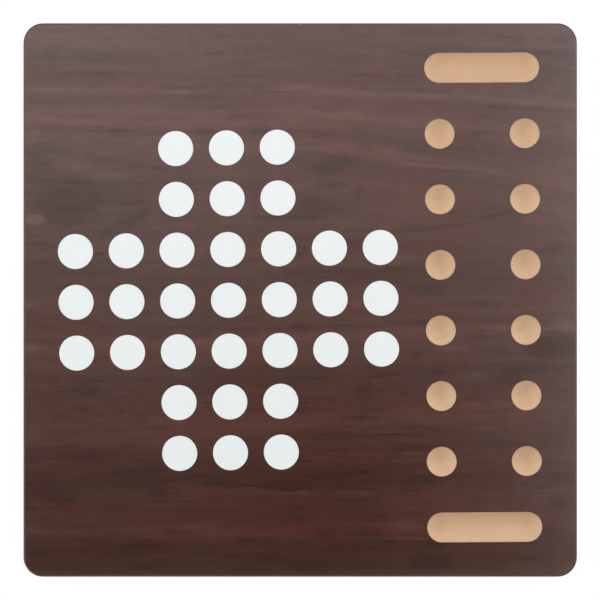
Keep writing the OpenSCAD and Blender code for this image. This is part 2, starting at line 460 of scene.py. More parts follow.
# The grain's patches. Each adds to the lightness.
GRAIN_PATCHES = patches(
    # A knot's charcoal shadow, its wing and the pink patch beside it.
    (-226, 176, 36, 30, -0.62, 10), (-228, 184, 12, 16, -0.3), (-234, 178, 30, 19, -0.8),
    (-238, 195, 28, 10, -0.3), (-172, 198, 34, 9, -0.75, -30), (-170, 177, 28, 9, -0.45),
    (-182, 159, 22, 6, -0.32), (-202, 208, 20, 6, -0.28, -12), (-200, 149, 60, 7, 0.34, 7),
    (-225, 142, 20, 6, 0.25), (-267, 195, 14, 7.5, 1.1), (-259, 195, 10, 7, 0.7),
    # Shades and lights level with them.
    (-258, 150, 22, 16, -0.22), (-80, 150, 40, 16, 0.34), (258, 192, 24, 14, 0.3),
    (22, 143, 26, 9, -0.3), (8, 180, 32, 12, -0.22),
    # The dark brown patch near the right edge.
    (250, 320, 34, 14, -1.3, 0), (247, 325, 26, 8, -1.35), (262, 304, 18, 9, -0.5),
    # Broad shades and lights.
    (-80, 82, 50, 9, -0.3), (-50, 93, 40, 8, -0.3), (-245, 116, 26, 16, -0.15),
    (-170, 112, 32, 5, -0.3), (-50, 165, 16, 10, -0.45), (-140, 146, 14, 5, -0.35),
    (65, 124, 24, 6, -0.55, 8), (118, 128, 34, 5, -0.45, 5), (120, 68, 34, 4, -0.4, 4),
    (116, 10, 28, 6, -0.5), (217, 16, 12, 12, -0.35), (262, 16, 16, 9, -0.5),
    (36, 36, 20, 7, -0.3), (28, 150, 18, 10, -0.45), (10, 176, 42, 16, -0.4),
    (58, 172, 12, 16, -0.35), (240, 226, 20, 6, -0.35), (-217, 362, 20, 14, -0.4),
    (-240, 391, 14, 8, -0.35), (-165, 393, 18, 6, -0.2), (-165, 452, 28, 12, -1.25),
    (-50, 515, 26, 8, -0.3), (-15, 460, 30, 7, -0.5), (-12, 484, 30, 7, -0.2),
    (118, 298, 24, 5, -0.55), (30, 385, 50, 4, -0.25), (118, 401, 26, 4, -0.45),
    (115, 422, 28, 6, -0.5), (65, 365, 14, 14, -0.4), (132, 518, 18, 6, -0.45),
    (-215, 93, 48, 5, -0.3), (-150, 95, 20, 5, -0.35), (-264, 131, 24, 16, -0.5),
    (-200, 134, 70, 6, -0.45, 9), (-205, 147, 60, 5, -0.3), (-120, 64, 32, 4, -0.45),
    (-42, 66, 36, 8, -0.3), (-40, 106, 18, 6, -0.6), (-45, 180, 8, 18, -0.4),
    (-22, 194, 34, 6, -0.45), (-255, 220, 18, 7, -0.35), (10, 28, 26, 6, -0.45),
    (146, 10, 18, 5, -0.4), (262, 30, 14, 9, -0.35), (90, 89, 40, 8, -0.38),
    (30, 85, 32, 7, -0.55), (75, 101, 18, 4, -0.35), (262, 74, 16, 9, -0.6),
    (262, 88, 20, 4, -0.4), (45, 136, 28, 9, -0.52), (12, 120, 28, 5, -0.45),
    (132, 139, 50, 3, -0.5, 3), (30, 161, 24, 6, -0.6), (8, 192, 24, 6, -0.6),
    (240, 190, 28, 6, -0.35), (0, 227, 10, 8, -0.8), (115, 205, 24, 6, -0.45),
    (258, 223, 20, 8, -0.55), (128, 265, 26, 8, -0.55), (183, 279, 20, 7, -0.45),
    (175, 303, 26, 5, -0.45), (262, 388, 16, 30, -0.35), (-250, 317, 18, 5, -0.35),
    (-100, 311, 18, 4, -0.5), (-145, 312, 18, 5, -0.4), (-2, 305, 14, 5, -0.55),
    (-235, 408, 32, 6, -0.5), (-190, 406, 28, 5, -0.45), (-200, 428, 80, 6, -0.35, -2),
    (-240, 474, 24, 6, -0.42, 8), (-140, 466, 14, 12, -0.4), (-215, 501, 64, 5, -0.32),
    (-120, 505, 36, 5, -0.5), (-60, 505, 24, 5, -0.1), (-28, 533, 20, 6, -0.45),
    (115, 328, 16, 7, -0.45), (205, 355, 18, 5, -0.4), (60, 392, 28, 4, -0.45),
    (122, 453, 26, 7, -0.5), (60, 491, 40, 8, -0.32), (65, 507, 30, 4, -0.4),
    (260, 452, 20, 8, -0.55), (260, 476, 18, 14, -0.55), (130, 535, 28, 12, -0.5),
    (-215, 65, 28, 5, -0.22), (-30, 92, 44, 5, -0.25), (-78, 66, 22, 9, -0.2),
    (-253, 142, 16, 10, -0.3), (-45, 26, 34, 8, -0.25), (230, 67, 20, 8, -0.3),
    (180, 93, 22, 5, -0.25), (85, 141, 28, 5, -0.25), (45, 75, 14, 11, -0.2),
    (60, 37, 28, 7, -0.25), (65, 12, 26, 5, -0.18), (258, 12, 20, 7, -0.25),
    (250, 103, 20, 5, -0.35), (35, 247, 34, 4, -0.25), (155, 277, 34, 6, -0.28),
    (105, 262, 14, 8, -0.25), (-98, 452, 26, 7, -0.3), (-70, 460, 34, 6, -0.3),
    (2, 493, 30, 5, -0.28), (-175, 507, 28, 5, -0.32), (-150, 539, 28, 6, -0.25),
    (-250, 302, 18, 5, -0.25), (-140, 402, 18, 5, -0.3), (-160, 386, 24, 8, -0.2),
    (-50, 293, 16, 6, -0.25), (228, 342, 22, 9, -0.3), (165, 342, 11, 10, -0.25),
    (182, 312, 20, 5, -0.25), (8, 354, 22, 4, -0.28), (192, 388, 16, 5, -0.22),
    (60, 474, 36, 9, -0.22), (252, 500, 18, 16, -0.28), (-218, 384, 20, 11, -0.3),
    (-165, 521, 28, 11, -0.28), (-215, 513, 24, 5, -0.18), (8, 536, 30, 12, -0.22),
    (12, 129, 20, 6, -0.22), (38, 185, 30, 9, -0.28), (208, 73, 32, 8, -0.28, 10),
    (122, 391, 24, 4, -0.22), (180, 375, 32, 4, -0.22), (55, 402, 34, 4, -0.2),
    (-205, 453, 20, 8, -0.2), (-165, 23, 34, 6, 0.28), (-100, 38, 44, 7, 0.28),
    (-100, 52, 60, 4, 0.2), (75, 44, 24, 9, 0.32), (190, 93, 26, 6, 0.15),
    (205, 120, 14, 10, 0.4), (118, 141, 42, 4, 0.55, 3), (112, 188, 46, 16, 0.3),
    (235, 193, 20, 12, 0.5), (95, 232, 26, 10, 0.35), (-250, 462, 20, 9, -0.25),
    (146, 323, 22, 6, 0.45), (172, 350, 30, 12, 0.26), (112, 512, 28, 3.5, 0.45),
    (10, 62, 28, 5, 0.35), (-266, 118, 16, 12, 0.3), (-274, 526, 8, 20, 0.25),
    (222, 541, 34, 7, 0.22), (-172, 426, 30, 6, 0.2), (-100, 231, 8, 8, 0.25),
    (165, 382, 24, 6, 0.2), (185, 429, 34, 5, 0.22), (264, 541, 14, 9, 0.4),
    (80, 31, 20, 7, 0.35), (184, 23, 24, 7, 0.38), (68, 121, 28, 5, 0.12),
    (258, 138, 28, 8, 0.3), (246, 170, 14, 14, 0.2), (93, 240, 12, 6, 0.2),
    (262, 299, 20, 8, 0.6), (70, 380, 22, 8, 0.15), (112, 384, 26, 8, 0.2),
    (85, 407, 28, 5, 0.3), (-95, 541, 36, 6, 0.12), (-262, 540, 22, 14, 0.08),
    (-268, 281, 12, 7, 0.5), (-270, 325, 12, 7, 0.55), (-115, 350, 18, 6, 0.4),
    (-200, 41, 60, 8, 0.08), (209, 350, 15, 11, -0.28), (-155, 446, 28, 8, -0.36, -14),
    # Small bands and flecks, mostly pink.
    (-120, 69, 34, 4, 0.3), (-218, 66, 42, 6, 0.16), (-220, 98, 26, 6, 0.22),
    (-263, 108, 9, 6, 0.32), (-113, 103, 24, 4.5, 0.22), (-12, 63, 24, 5.5, 0.32),
    (52, 66, 32, 3.6, 0.32, 5), (20, 119, 26, 7, 0.26), (84, 126, 50, 6, 0.3, 8),
    (125, 71.5, 24, 3.6, 0.38), (215, 77, 30, 4.5, 0.28, 3), (150, 140, 46, 6, 0.26, 3),
    (192, 146, 20, 5, 0.26, 5), (246, 150, 30, 9, 0.26, 10), (-98, 316, 9, 6, 0.3),
    (-200, 317, 12, 6, 0.3), (-262, 320, 17, 4.5, 0.3), (-265, 276, 14, 4.5, 0.2),
    (-52, 308, 14, 6, -0.35), (-3, 306, 9, 4.5, 0.3), (35, 385, 30, 4.5, 0.24),
    (188, 300, 22, 3, 0.2), (265, 300, 14, 9, 0.32), (-100, 501, 30, 6, 0.34),
    (25, 507, 20, 7, -0.4), (105, 500, 24, 8, 0.36), (3, 466, 9, 3.5, 0.42),
    (50, 469, 22, 7, 0.22), (140, 470, 20, 7, 0.16),
)
# Where the lacquer lies thinner.
THIN_PATCHES = patches(
    (40, 440, 180, 140, -0.32), (-234, 180, 44, 24, -0.1), (252, 324, 34, 12, -0.13),
    (-165, 451, 34, 10, -0.1),
)
# Where the brown is greyer, above 0, or redder, below 0, than the rest.
GREY_PATCHES = patches(
    (-110, 82, 210, 44, -0.45), (-225, 5, 150, 60, 0.5), (-222, 180, 74, 40, 0.35),
    (84, 500, 130, 30, -0.65), (-100, 497, 150, 24, -0.45), (-70, 380, 130, 26, -0.25),
)
# Strokes in the back quarter.
BACK_STROKES = patches(
    (-243, 16, 12, 1.5, PORE), (-207, 16, 13, 1.5, PORE), (-195, 31, 22, 1.2, PORE),
    (-234, 50.5, 10, 2, PORE), (-195, 50, 17, 2, PORE), (-164, 63, 12, 1.5, PORE),
    (-133, 64, 12, 1.8, PORE), (-98, 63, 12, 2, PORE), (-105, 73.5, 10, 1.5, PORE),
    (-250, 71, 13, 1.5, FAINT), (-240, 92, 8, 1.5, PORE), (-215, 94, 20, 1.3, PORE),
    (-168, 93, 12, 2, PORE), (-126, 95, 25, 1.6, STRONG), (-181, 107.5, 39, 2.4, STRONG),
    (-235, 103, 17, 1.5, PORE), (-95, 107, 17, 2.5, STRONG), (-178, 120, 13, 1.2, PORE),
    (-245, 127, 12, 3, PORE), (-208, 130, 6, 1.5, PORE), (-77, 13, 14, 1.8, PORE),
    (-44, 14.5, 6, 1.5, PORE), (-86, 30.5, 17, 1.5, STRONG), (25, 26, 5.2, 1.2, PORE),
    (8, 46, 6, 1.2, PORE), (60, 51, 17, 1.4, PORE), (-23, 58, 5.2, 1.5, PORE),
    (-72, 60, 12, 1.8, FAINT), (20, 61, 20, 1.2, PORE, 3), (64, 66, 43, 1.4, PORE, 4),
    (-18, 69, 44, 1.5, STRONG), (-86, 73.5, 16, 1.8, PORE), (30, 73.5, 12, 1.8, STRONG, 14),
    (66, 77, 35, 1.8, PORE, 4), (37, 97, 31, 1.4, PORE, 4), (-68, 94, 12, 1.6, PORE),
    (10, 93, 12, 1.6, PORE), (18, 109, 29, 2.2, STRONG, 6), (-83, 104, 2, 1.5, PORE),
    (30, 131, 36, 1.8, PORE, 6), (78, 137, 29, 1.8, PORE, 5), (150, 14, 9, 1.5, PORE),
    (203, 14, 10, 1.8, STRONG), (108, 52, 14, 2.5, PORE), (92, 67, 10, 1.2, PORE),
    (165, 69, 8, 1.5, PORE), (190, 83, 12, 1.8, STRONG), (236, 85, 42, 2.2, PORE, 3),
    (177, 109, 18, 2.5, PORE), (132, 92, 5.2, 1.3, PORE), (245, 30, 12, 3, FAINT),
    (120, 79, 34, 2.2, PORE, 2), (-234, 31, 10, 1.2, LIGHT), (-192, 80, 12, 2, GLINT),
    (-173, 116, 12, 3, GLINT), (96, 48, 8, 1.5, LIGHT), (-50, 104, 6, 1.2, LIGHT),
    (190, 115, 13, 2, GLINT), (-92, 19, 16, 1.2, GLINT),
)
# Strokes behind the board's middle.
MIDDLE_STROKES = patches(
    (-150, 144, 17, 2, PORE, 11), (-200, 229, 8, 2.5, STRONG), (-199, 249, 21, 3, FAINT, 5),
    (-256, 237, 18, 1.5, PORE), (-45, 235, 9, 3, PORE), (-4, 249, 17, 4, PORE),
    (90, 243, 13, 3, PORE), (-40, 205, 14, 3, FAINT), (120, 144, 31, 1.8, STRONG, 6),
    (163, 148, 31, 1.8, STRONG, 3), (200, 153, 26, 2, STRONG, 6), (150, 201, 44, 2.6, PORE, -8),
    (195, 190, 21, 3, PORE, -14), (168, 215, 6, 2, FAINT), (135, 217, 6, 2, FAINT),
    (100, 243, 22, 3.5, PORE), (195, 252, 18, 2.5, PORE), (163, 204, 6, 1.5, LIGHT),
    (-220, 158, 26, 2, PORE, -2), (-194, 163, 12, 3, FAINT, 22), (-269, 162, 8, 3, LIGHT),
    (0, 161, 13, 3, GLINT, 20), (-185, 151, 34, 2.5, GLINT, 12),
)
# Strokes in front of the board's middle.
NEAR_STROKES = patches(
    (-262, 284, 12, 1.5, PORE), (-218, 298, 21, 2, PORE), (-199, 356, 12, 1.5, STRONG, 8),
    (-147, 354, 12, 2, PORE), (-234, 365.5, 16, 1.6, STRONG, -5), (-258, 368, 9, 1.5, PORE, -5),
    (-179, 385, 10, 1.8, STRONG, 10), (-243, 379.5, 12, 1.5, PORE),
    (-213, 406, 13, 1.6, STRONG, -6), (-182, 404, 12, 1.4, PORE, -4),
    (-148, 403, 26, 1.4, PORE, -3), (-122, 401.5, 16, 1.4, PORE), (-203, 345, 10, 2.5, PORE),
    (3, 301.5, 18, 2.6, STRONG), (58, 300.5, 29, 1.8, PORE), (55, 286, 18, 2.2, PORE),
    (-52, 292, 12, 2.5, FAINT), (77, 351.5, 26, 1.5, STRONG, -6), (22, 352.5, 18, 1.5, PORE, -6),
    (15, 366, 12, 1.5, FAINT), (0, 377, 12, 1.5, PORE), (30, 373, 16, 1.3, FAINT, -4),
    (75, 390, 18, 1.3, PORE), (12, 404, 18, 1.5, PORE), (22, 408.5, 34, 1.6, PORE),
    (84, 408.5, 18, 1.8, STRONG), (96, 297.5, 16, 1.8, PORE), (116, 315, 20, 1.2, PORE),
    (176, 310.5, 18, 1.3, PORE), (250, 307, 13, 1.5, PORE), (207, 337, 39, 1.2, PORE, -4),
    (138, 347, 14, 2, PORE), (120, 351, 16, 1.2, FAINT), (178, 386, 10, 1.6, FAINT),
    (110, 397, 16, 1.5, FAINT), (95, 408, 16, 1.8, PORE), (203, 404.5, 10, 1.2, PORE),
    (-175, 367, 12, 1.3, LIGHT), (-216, 399.5, 13, 1.2, LIGHT), (205, 333, 36, 1.5, GLINT, -4),
    (177, 349, 10, 1.6, LIGHT), (185, 378, 39, 1, GLINT), (115, 391, 21, 1.8, LIGHT, -5),
    (125, 400, 31, 1.2, LIGHT), (186, 402, 26, 2, LIGHT), (175, 390, 12, 4, GLINT),
    (55, 402, 18, 1.2, LIGHT, -5), (80, 396, 21, 2.5, GLINT),
)
# Strokes in the front quarter.
FRONT_STROKES = patches(
    (-240, 421, 23, 1.6, PORE), (-212, 419, 21, 1.2, PORE), (-205, 430, 17, 1.6, PORE),
    (-200, 440, 39, 1.2, FAINT), (-157, 435, 9, 1.6, PORE, -6), (-150, 427, 12, 1.8, FAINT),
    (-187, 461.5, 18, 1.6, PORE, -4), (-125, 453.5, 22, 2.4, STRONG, -6),
    (-88, 458, 18, 2.2, PORE), (-228, 481, 14, 1.2, PORE, -3), (-263, 483, 12, 1.3, PORE),
    (-187, 479, 10, 1.2, PORE), (-187, 486, 8, 1.2, PORE), (-139, 475, 14, 1.5, STRONG),
    (-111, 475, 16, 1.6, STRONG), (-128, 467, 9, 1.3, PORE), (-170, 473, 9, 1.5, FAINT),
    (-190, 497, 21, 1.2, FAINT), (-156, 514, 10, 2, PORE), (-158, 518.5, 44, 2.6, PORE),
    (-140, 533, 17, 3, PORE), (-100, 528, 21, 3, FAINT), (-44, 460, 29, 1.8, STRONG, 2),
    (-10, 463.5, 26, 2, PORE, 2), (60, 446, 18, 1.7, STRONG), (8, 435, 10, 1.4, STRONG),
    (76, 409.5, 29, 1.8, PORE), (70, 423, 17, 1.6, PORE), (32, 424, 26, 2, FAINT),
    (-83, 475, 12, 1.3, PORE), (-57, 476, 9, 1.4, PORE), (-85, 483, 9, 1.2, FAINT),
    (-47, 483, 9, 1.3, PORE), (-62, 496, 18, 1.3, PORE), (-26, 497, 29, 1.4, PORE),
    (1, 515, 12, 1.3, STRONG), (26, 515, 16, 1.1, PORE), (62, 520, 14, 2, FAINT),
    (86, 516, 16, 1.3, PORE), (-65, 530, 21, 3, FAINT), (52, 493, 9, 1.3, FAINT),
    (70, 463, 17, 1.8, PORE), (105, 409, 20, 1.6, PORE), (105, 418, 13, 1.5, FAINT),
    (95, 431, 9, 1.2, PORE), (171, 429, 12, 2, FAINT), (116, 464, 29, 1.3, PORE),
    (222, 473, 36, 1.4, PORE), (102, 515, 23, 1.5, PORE), (225, 532, 18, 2, PORE),
    (178, 474, 17, 3, FAINT), (-245, 436, 14, 1.4, LIGHT), (-184, 432, 18, 1.3, GLINT),
    (-150, 459, 14, 1, LIGHT), (15, 431, 16, 1.6, LIGHT), (-13, 467.5, 13, 1.3, LIGHT),
    (70, 468, 9, 2.6, LIGHT), (78, 415, 23, 1.2, GLINT), (111, 413, 16, 1.2, GLINT),
    (112, 427, 17, 2.5, LIGHT), (95, 435, 9, 1.6, GLINT), (200, 435, 9, 1.4, LIGHT),
    (245, 415, 12, 1.2, GLINT), (241, 464, 13, 1.3, BRIGHT), (240, 469, 12, 2, LIGHT),
    (110, 481, 14, 1.6, LIGHT), (155, 522, 16, 3, GLINT), (200, 524, 14, 2.5, GLINT),
)

# ---- Finishes --------------------------------


@dataclass(frozen=True)
class FaceLaminate:
    """Dark reddish wood-grain laminate with a satin face. Its bands run from left to right."""

    half_depth: float = 275.0  # mm from the middle to the back edge
    strips: tuple[GrainStrip, ...] = (LEFT_STRIP, INNER_STRIP, CENTRE_STRIP, RIGHT_STRIP)
    grains: tuple[Patch, ...] = GRAIN_PATCHES
    greys: tuple[Patch, ...] = GREY_PATCHES
    thins: tuple[Patch, ...] = THIN_PATCHES
    strokes: tuple[Patch, ...] = BACK_STROKES + MIDDLE_STROKES + NEAR_STROKES + FRONT_STROKES
    fan_from: float = 20.0  # mm right of the middle, where the grain starts to spread
    fan_lines: tuple[float, float, float] = (100.3, 126.1, 243.2)  # mm from the back edge
    fan_drop: tuple[float, float] = (14.0, 47.7)  # fall of the first two lines at the right
    wander: Layer = Layer((260, 60, 60), 3.1, 2.6)  # mm by which the bands stray
    ripple: Layer = Layer((60, 16, 60), 8.7, 2.2)  # mm by which bands and patches stray
    sway: Layer = Layer((90, 22, 60), 33, 90)  # mm by which the strips' borders stray
    streaks: tuple[Layer, ...] = (
        Layer((170, 6, 1), 21, 0.28, roughness=0.55),
        Layer((60, 2.2, 1), 47, 0.12, roughness=0.6),
        Layer((24, 14, 1), 5, 0.37),
        Layer((9, 6, 1), 15, 0.32),
    )
    level_shift: float = 0.06  # makes the whole print this much lighter
    calm: Patch = Patch(160, 190, 150, 130, -0.5)  # where the fine grain is faint
    front_calm: Fade = Fade(430, 500, -0.2)  # the same, in mm from the back edge
    reddish: tuple[tuple[float, Colour], ...] = (
        (0.0, (0.042, 0.0040, 0.0010)),
        (0.36, (0.067, 0.0110, 0.0035)),
        (0.70, (0.091, 0.0205, 0.0110)),
        (1.0, (0.112, 0.0305, 0.0190)),
    )
    greyish: tuple[tuple[float, Colour], ...] = (
        (0.0, (0.038, 0.0098, 0.0034)),
        (0.36, (0.060, 0.0190, 0.0108)),
        (0.70, (0.081, 0.0285, 0.0195)),
        (1.0, (0.100, 0.0380, 0.0275)),
    )
    hues: tuple[Layer, ...] = (Layer((90, 9, 1), 71, 2.0), Layer((45, 2.6, 1), 12, 0.5, detail=1))
    least_grey: float = 0.3
    grey_rise: Fade = Fade(0, 550, 0.5)  # mm from the back edge, as are the next three
    front_grey: Fade = Fade(518, 540, 0.3)
    # Painted light: an even lift of the colour along the front, back and right edges and in the
    # back left corner.
    painted_front_light: Fade = Fade(540, 549, 0.008)
    painted_back_light: Fade = Fade(45, 5, 0.006)
    painted_rim_light: Fade = Fade(248, 275, 0.012)  # mm right of the middle
    painted_side_light: Fade = Fade(205, 255, 0.005)  # mm right of the middle
    side_rise: Fade = Fade(330, 450, 1.4)  # how much stronger it is, in mm from the back edge
    painted_corner_light: tuple[Fade, Fade] = (Fade(-60, -250), Fade(100, 10, 0.006))  # both, multiplied
    threads: tuple[Layer, ...] = (
        Layer((36, 1.3, 1), 52, 0.0021, roughness=0.6),
        Layer((120, 2.8, 1), 81, 0.0060),
        Layer((120, 7, 1), 41, 0.0035),
        Layer((12, 2.6, 1), 36, 0.0045),
        Layer((10, 8, 1), 66, 0.0045),
    )
    pores: tuple[tuple[Layer, Fade], ...] = (
        (Layer((75, 1.6, 1), 63, detail=1), Fade(0.14, 0.22, -0.0025)),
        (Layer((24, 1.2, 1), 97, detail=1), Fade(0.15, 0.24, -0.0025)),
    )
    ink: Colour = (1.0, 0.20, 0.12)  # what strokes and threads change in red, green and blue
    flecks: float = 0.4  # how much paler a light stroke is than the brown alone would make it
    darkest: Colour = (0.010, 0.004, 0.002)
    roughness: float = 0.75  # of the print below the lacquer
    sheen: float = 0.36  # the lacquer's own roughness
    coat_ior: float = 1.55
    lacquer_low: float = 0.825  # the lacquer's weight over the darkest band
    lacquer_swing: float = 0.06  # how much heavier it lies over the lightest
    lacquer_pores: float = 31.0  # how much thinner it lies over dark strokes
    brushed: Layer = Layer((40, 0.8, 1), 90, roughness=0.6)
    relief: Relief = Relief(0.01, 0.3)
    cut: Fade = Fade(25.48, 25.5)  # z in mm, below which the sheet's cut edge shows
    cut_colour: Colour = (0.62, 0.47, 0.35)

    def material(self) -> bpy.types.Material:
        """Makes the laminate.

        Returns:
            The finished material.
        """
        g = Graph("face_laminate_finish")
        back = self.half_depth - g.y
        ripple = g.noise(self.ripple)
        along = self._fanned(g, back + g.noise(self.wander) + ripple)
        flow = g.vector(g.x, along, 0.0)
        placed = g.vector(g.x, back + ripple, 0.0)
        force = 1 + g.patched((self.calm,), placed) + g.faded(back, self.front_calm)
        level = self._banded(g, along) + g.layered(self.streaks, flow) * force
        level = (level + g.patched(self.grains, placed) + self.level_shift).clamped()
        grey = g.patched(self.greys, placed) + g.faded(back, self.front_grey)
        grey = grey + g.faded(back, self.grey_rise) + self.least_grey
        share = (g.layered(self.hues, flow) + grey).clamped()
        colour = g.mix(share, g.ramp(level, self.reddish), g.ramp(level, self.greyish))
        ink = self._inked(g, flow) * force + g.patched(self.strokes, placed)
        colour = g.vector_math("MULTIPLY_ADD", self.ink, g.vector(ink, ink, ink), colour)
        colour = g.vector_math("MAXIMUM", colour, self.darkest)
        # veil is the painted edge and corner light, plus the paler light strokes of the print.
        veil = self._painted_edge_light(g, back) + ink.most(0.0) * self.flecks
        colour = g.vector_math("ADD", colour, g.vector(veil, veil, veil))
        face = g.faded(g.z, self.cut)
        colour = g.mix(face, self.cut_colour, colour)
        lacquer = level * self.lacquer_swing + ink * self.lacquer_pores + self.lacquer_low
        lacquer = (lacquer + g.patched(self.thins, placed)) * face
        return g.finish(
            colour,
            Roughness=self.roughness,
            Specular_IOR_Level=0.0,
            Coat_Weight=lacquer.clamped(),
            Coat_Roughness=self.sheen,
            Coat_IOR=self.coat_ior,
            Normal=g.bump(g.noise(self.brushed, flow), self.relief),
        )

    def _painted_edge_light(self, g: Graph, back: Value) -> Value:
        """Painted light along the back, right and front edges of the print and in its back left
        corner.

        Args:
            g: the graph.
            back: the distance from the back edge.

        Returns:
            What is added to the colour.
        """
        side = g.faded(g.x, self.painted_side_light) * (g.faded(back, self.side_rise) + 1)
        corner = g.faded(g.x, self.painted_corner_light[0]) * g.faded(back, self.painted_corner_light[1])
        veil = g.faded(g.x, self.painted_rim_light) + side + g.faded(back, self.painted_front_light) + corner
        return veil + g.faded(back, self.painted_back_light)

    def _inked(self, g: Graph, flow: Socket) -> Value:
        """The fine threads and the pores that lie over the bands.

        Args:
            g: the graph.
            flow: the place along the levelled grain.

        Returns:
            What they add to the colour; below 0 it darkens.
        """
        pores = total(g.faded(g.noise(layer, flow), fade) for layer, fade in self.pores)
        return g.layered(self.threads, flow) + pores

    def _fanned(self, g: Graph, back: Value) -> Value:
        """Levels the grain: bands between two lines spread and fall towards the right edge.

        The distance from the back edge is taken to where it would lie at the left. Each stretch
        between two lines is a straight scale of its own, whose ends fall evenly with x.

        Args:
            g: the graph.
            back: the distance from the back edge.

        Returns:
            The levelled distance from the back edge.
        """
        first, second, third = self.fan_lines
        spread = g.between(g.x, self.fan_from, self.half_depth)
        upper = spread * self.fan_drop[0] + first
        lower = spread * self.fan_drop[1] + second
        above = (back - spread * self.fan_drop[0]).least(first)
        middle = ((back - upper) / (lower - upper)).clamped() * (second - first)
        below = ((back - lower) / (third - lower)).clamped() * (third - second)
        return above + middle + below + (back - third).most(0.0)

    def _banded(self, g: Graph, along: Value) -> Value:
        """The bands' lightness, with each strip passing evenly into the next.

        Args:
            g: the graph.
            along: the levelled distance from the back edge.

        Returns:
            The lightness.
        """
        sway = g.x + g.noise(self.sway)
        levels = [self._strip(g, along, strip) for strip in self.strips]
        level = levels[0]
        for index in range(1, len(levels)):
            start, end = self.strips[index - 1].across, self.strips[index].across
            level = level + (levels[index] - levels[index - 1]) * g.between(sway, start, end)
        return level

    @staticmethod
    def _strip(g: Graph, along: Value, strip: GrainStrip) -> Value:
        """One strip's lightness.

        The bands are shared among short ramps. Each holds its first and last lightness beyond
        its ends, so the ramps' sum less the lightness at each joint is the whole strip.

        Args:
            g: the graph.
            along: the levelled distance from the back edge.
            strip: the bands.

        Returns:
            The lightness.
        """
        held: Value | None = None
        for start in range(0, len(strip.bands) - 1, MOST_STOPS):
            part = strip.bands[start : start + MOST_STOPS + 1]
            low, high = part[0][0], part[-1][0]
            stops = [((at - low) / (high - low), (tint.value,) * 3) for at, tint in part]
            ramp = Value(g, g.ramp(g.between(along, low, high), stops))
            held = ramp if held is None else held + ramp - part[0][1].value
        return held


@dataclass(frozen=True)
class Texture:
    """A layer of noise, with its share in a plain finish's colour and in its roughness."""

    layer: Layer
    tone: float
    rough: float = 0.0


@dataclass(frozen=True)
class PlainFinish:
    """An even material with a few layers of noise. The first one also gives its relief."""

    slot: Slot
    dark: Colour
    light: Colour
    textures: tuple[Texture, ...]
    relief: Relief
    roughness: float
    tone: float = 0.5  # the colour's middle, from 0 for dark to 1 for light
    wear: Fade | None = None  # z in mm, over which the skin is paler
    metallic: float = 0.0

    def material(self) -> bpy.types.Material:
        """Makes the material.

        Returns:
            The finished material.
        """
        g = Graph(f"{self.slot.value}_finish")
        noises = [(g.noise(texture.layer), texture) for texture in self.textures]
        tone = total(noise * texture.tone for noise, texture in noises)
        if self.wear:
            tone = tone + g.faded(g.z, self.wear)
        colour = self.coloured(g, (tone + self.tone).clamped())
        rough = total(noise * texture.rough for noise, texture in noises if texture.rough)
        normal = g.bump(noises[0][0], self.relief)
        rough = rough + self.roughness
        return g.finish(colour, Metallic=self.metallic, Roughness=rough, Normal=normal)

    def coloured(self, g: Graph, tone: Value) -> Socket:
        """The colour of a tone from 0 to 1."""
        return g.ramp(tone, [(0.0, self.dark), (1.0, self.light)])


@dataclass(frozen=True)
class RoutedFinish(PlainFinish):
    """Bare board with painted shade that darkens it towards the bottom of a routed dish or store.
    """

    # Painted shade at the bottom of the hollows.
    painted_depth_shade: Colour = (0.872, 0.840, 0.800)  # what the colour is multiplied by at the deepest
    deep_z: tuple[float, float] = (18.3, 22.6)  # mm; the dishes' lowest point, and where it ends

    def coloured(self, g: Graph, tone: Value) -> Socket:
        """The colour of a tone from 0 to 1, with the painted shade of the depth."""
        shade = g.mix(g.between(g.z, *self.deep_z), self.painted_depth_shade, WHITE)
        return g.vector_math("MULTIPLY", super().coloured(g, tone), shade)


# Bare fibreboard, as the ball-nosed cutter leaves it, with painted shade deep in its dishes and
# stores.
FIBREBOARD = RoutedFinish(
    Slot.FIBREBOARD,
    dark=(0.622, 0.402, 0.247),
    light=(0.752, 0.506, 0.322),
    textures=(
        Texture(Layer((0.9, 0.9, 0.9), 2, detail=3, roughness=0.6), 0.9, 0.12),
        Texture(Layer((7, 5, 7), 14), 0.7),
        Texture(Layer((60, 60, 60), 29, detail=1), 0.6),
    ),
    relief=Relief(0.05, 0.5),
    roughness=0.62,
)
# Plain dark backing sheet with a fine pressed texture.
BACKING_LAMINATE = PlainFinish(
    Slot.BACKING_LAMINATE,
    dark=(0.046, 0.033, 0.028),
    light=(0.090, 0.066, 0.056),
    textures=(
        Texture(Layer((1.2, 1.2, 1.2), 4, roughness=0.6), 0.8, 0.15),
        Texture(Layer((90, 70, 90), 17), 0.9),
        Texture(Layer((70, 1.8, 10), 27, roughness=0.6), 0.9),
    ),
    relief=Relief(0.06, 0.5),
    roughness=0.55,
)
# Wood-tone edging with fine lines along the board's edge.
EDGE_BAND = PlainFinish(
    Slot.EDGE_BAND,
    dark=(0.062, 0.040, 0.034),
    light=(0.104, 0.068, 0.058),
    textures=(
        Texture(Layer((45, 45, 0.6), 19, roughness=0.6), 0.8, 0.1),
        Texture(Layer((160, 160, 1.3), 6, roughness=0.6), 1.3),
        Texture(Layer((120, 120, 30), 35, detail=1), 0.6),
    ),
    relief=Relief(0.02, 0.4),
    roughness=0.42,
)
# Cool white plastic with a soft sheen.
WHITE_PLASTIC = PlainFinish(
    Slot.WHITE_DISC,
    dark=(0.826, 0.864, 0.868),
    light=(0.862, 0.899, 0.902),
    textures=(
        Texture(Layer((0.7, 0.7, 0.7), 23, roughness=0.6), 0.5, 0.08),
        Texture(Layer((9, 9, 9), 7), 0.9),
    ),
    relief=Relief(0.01, 0.3),
    roughness=0.42,
    tone=0.6,
)
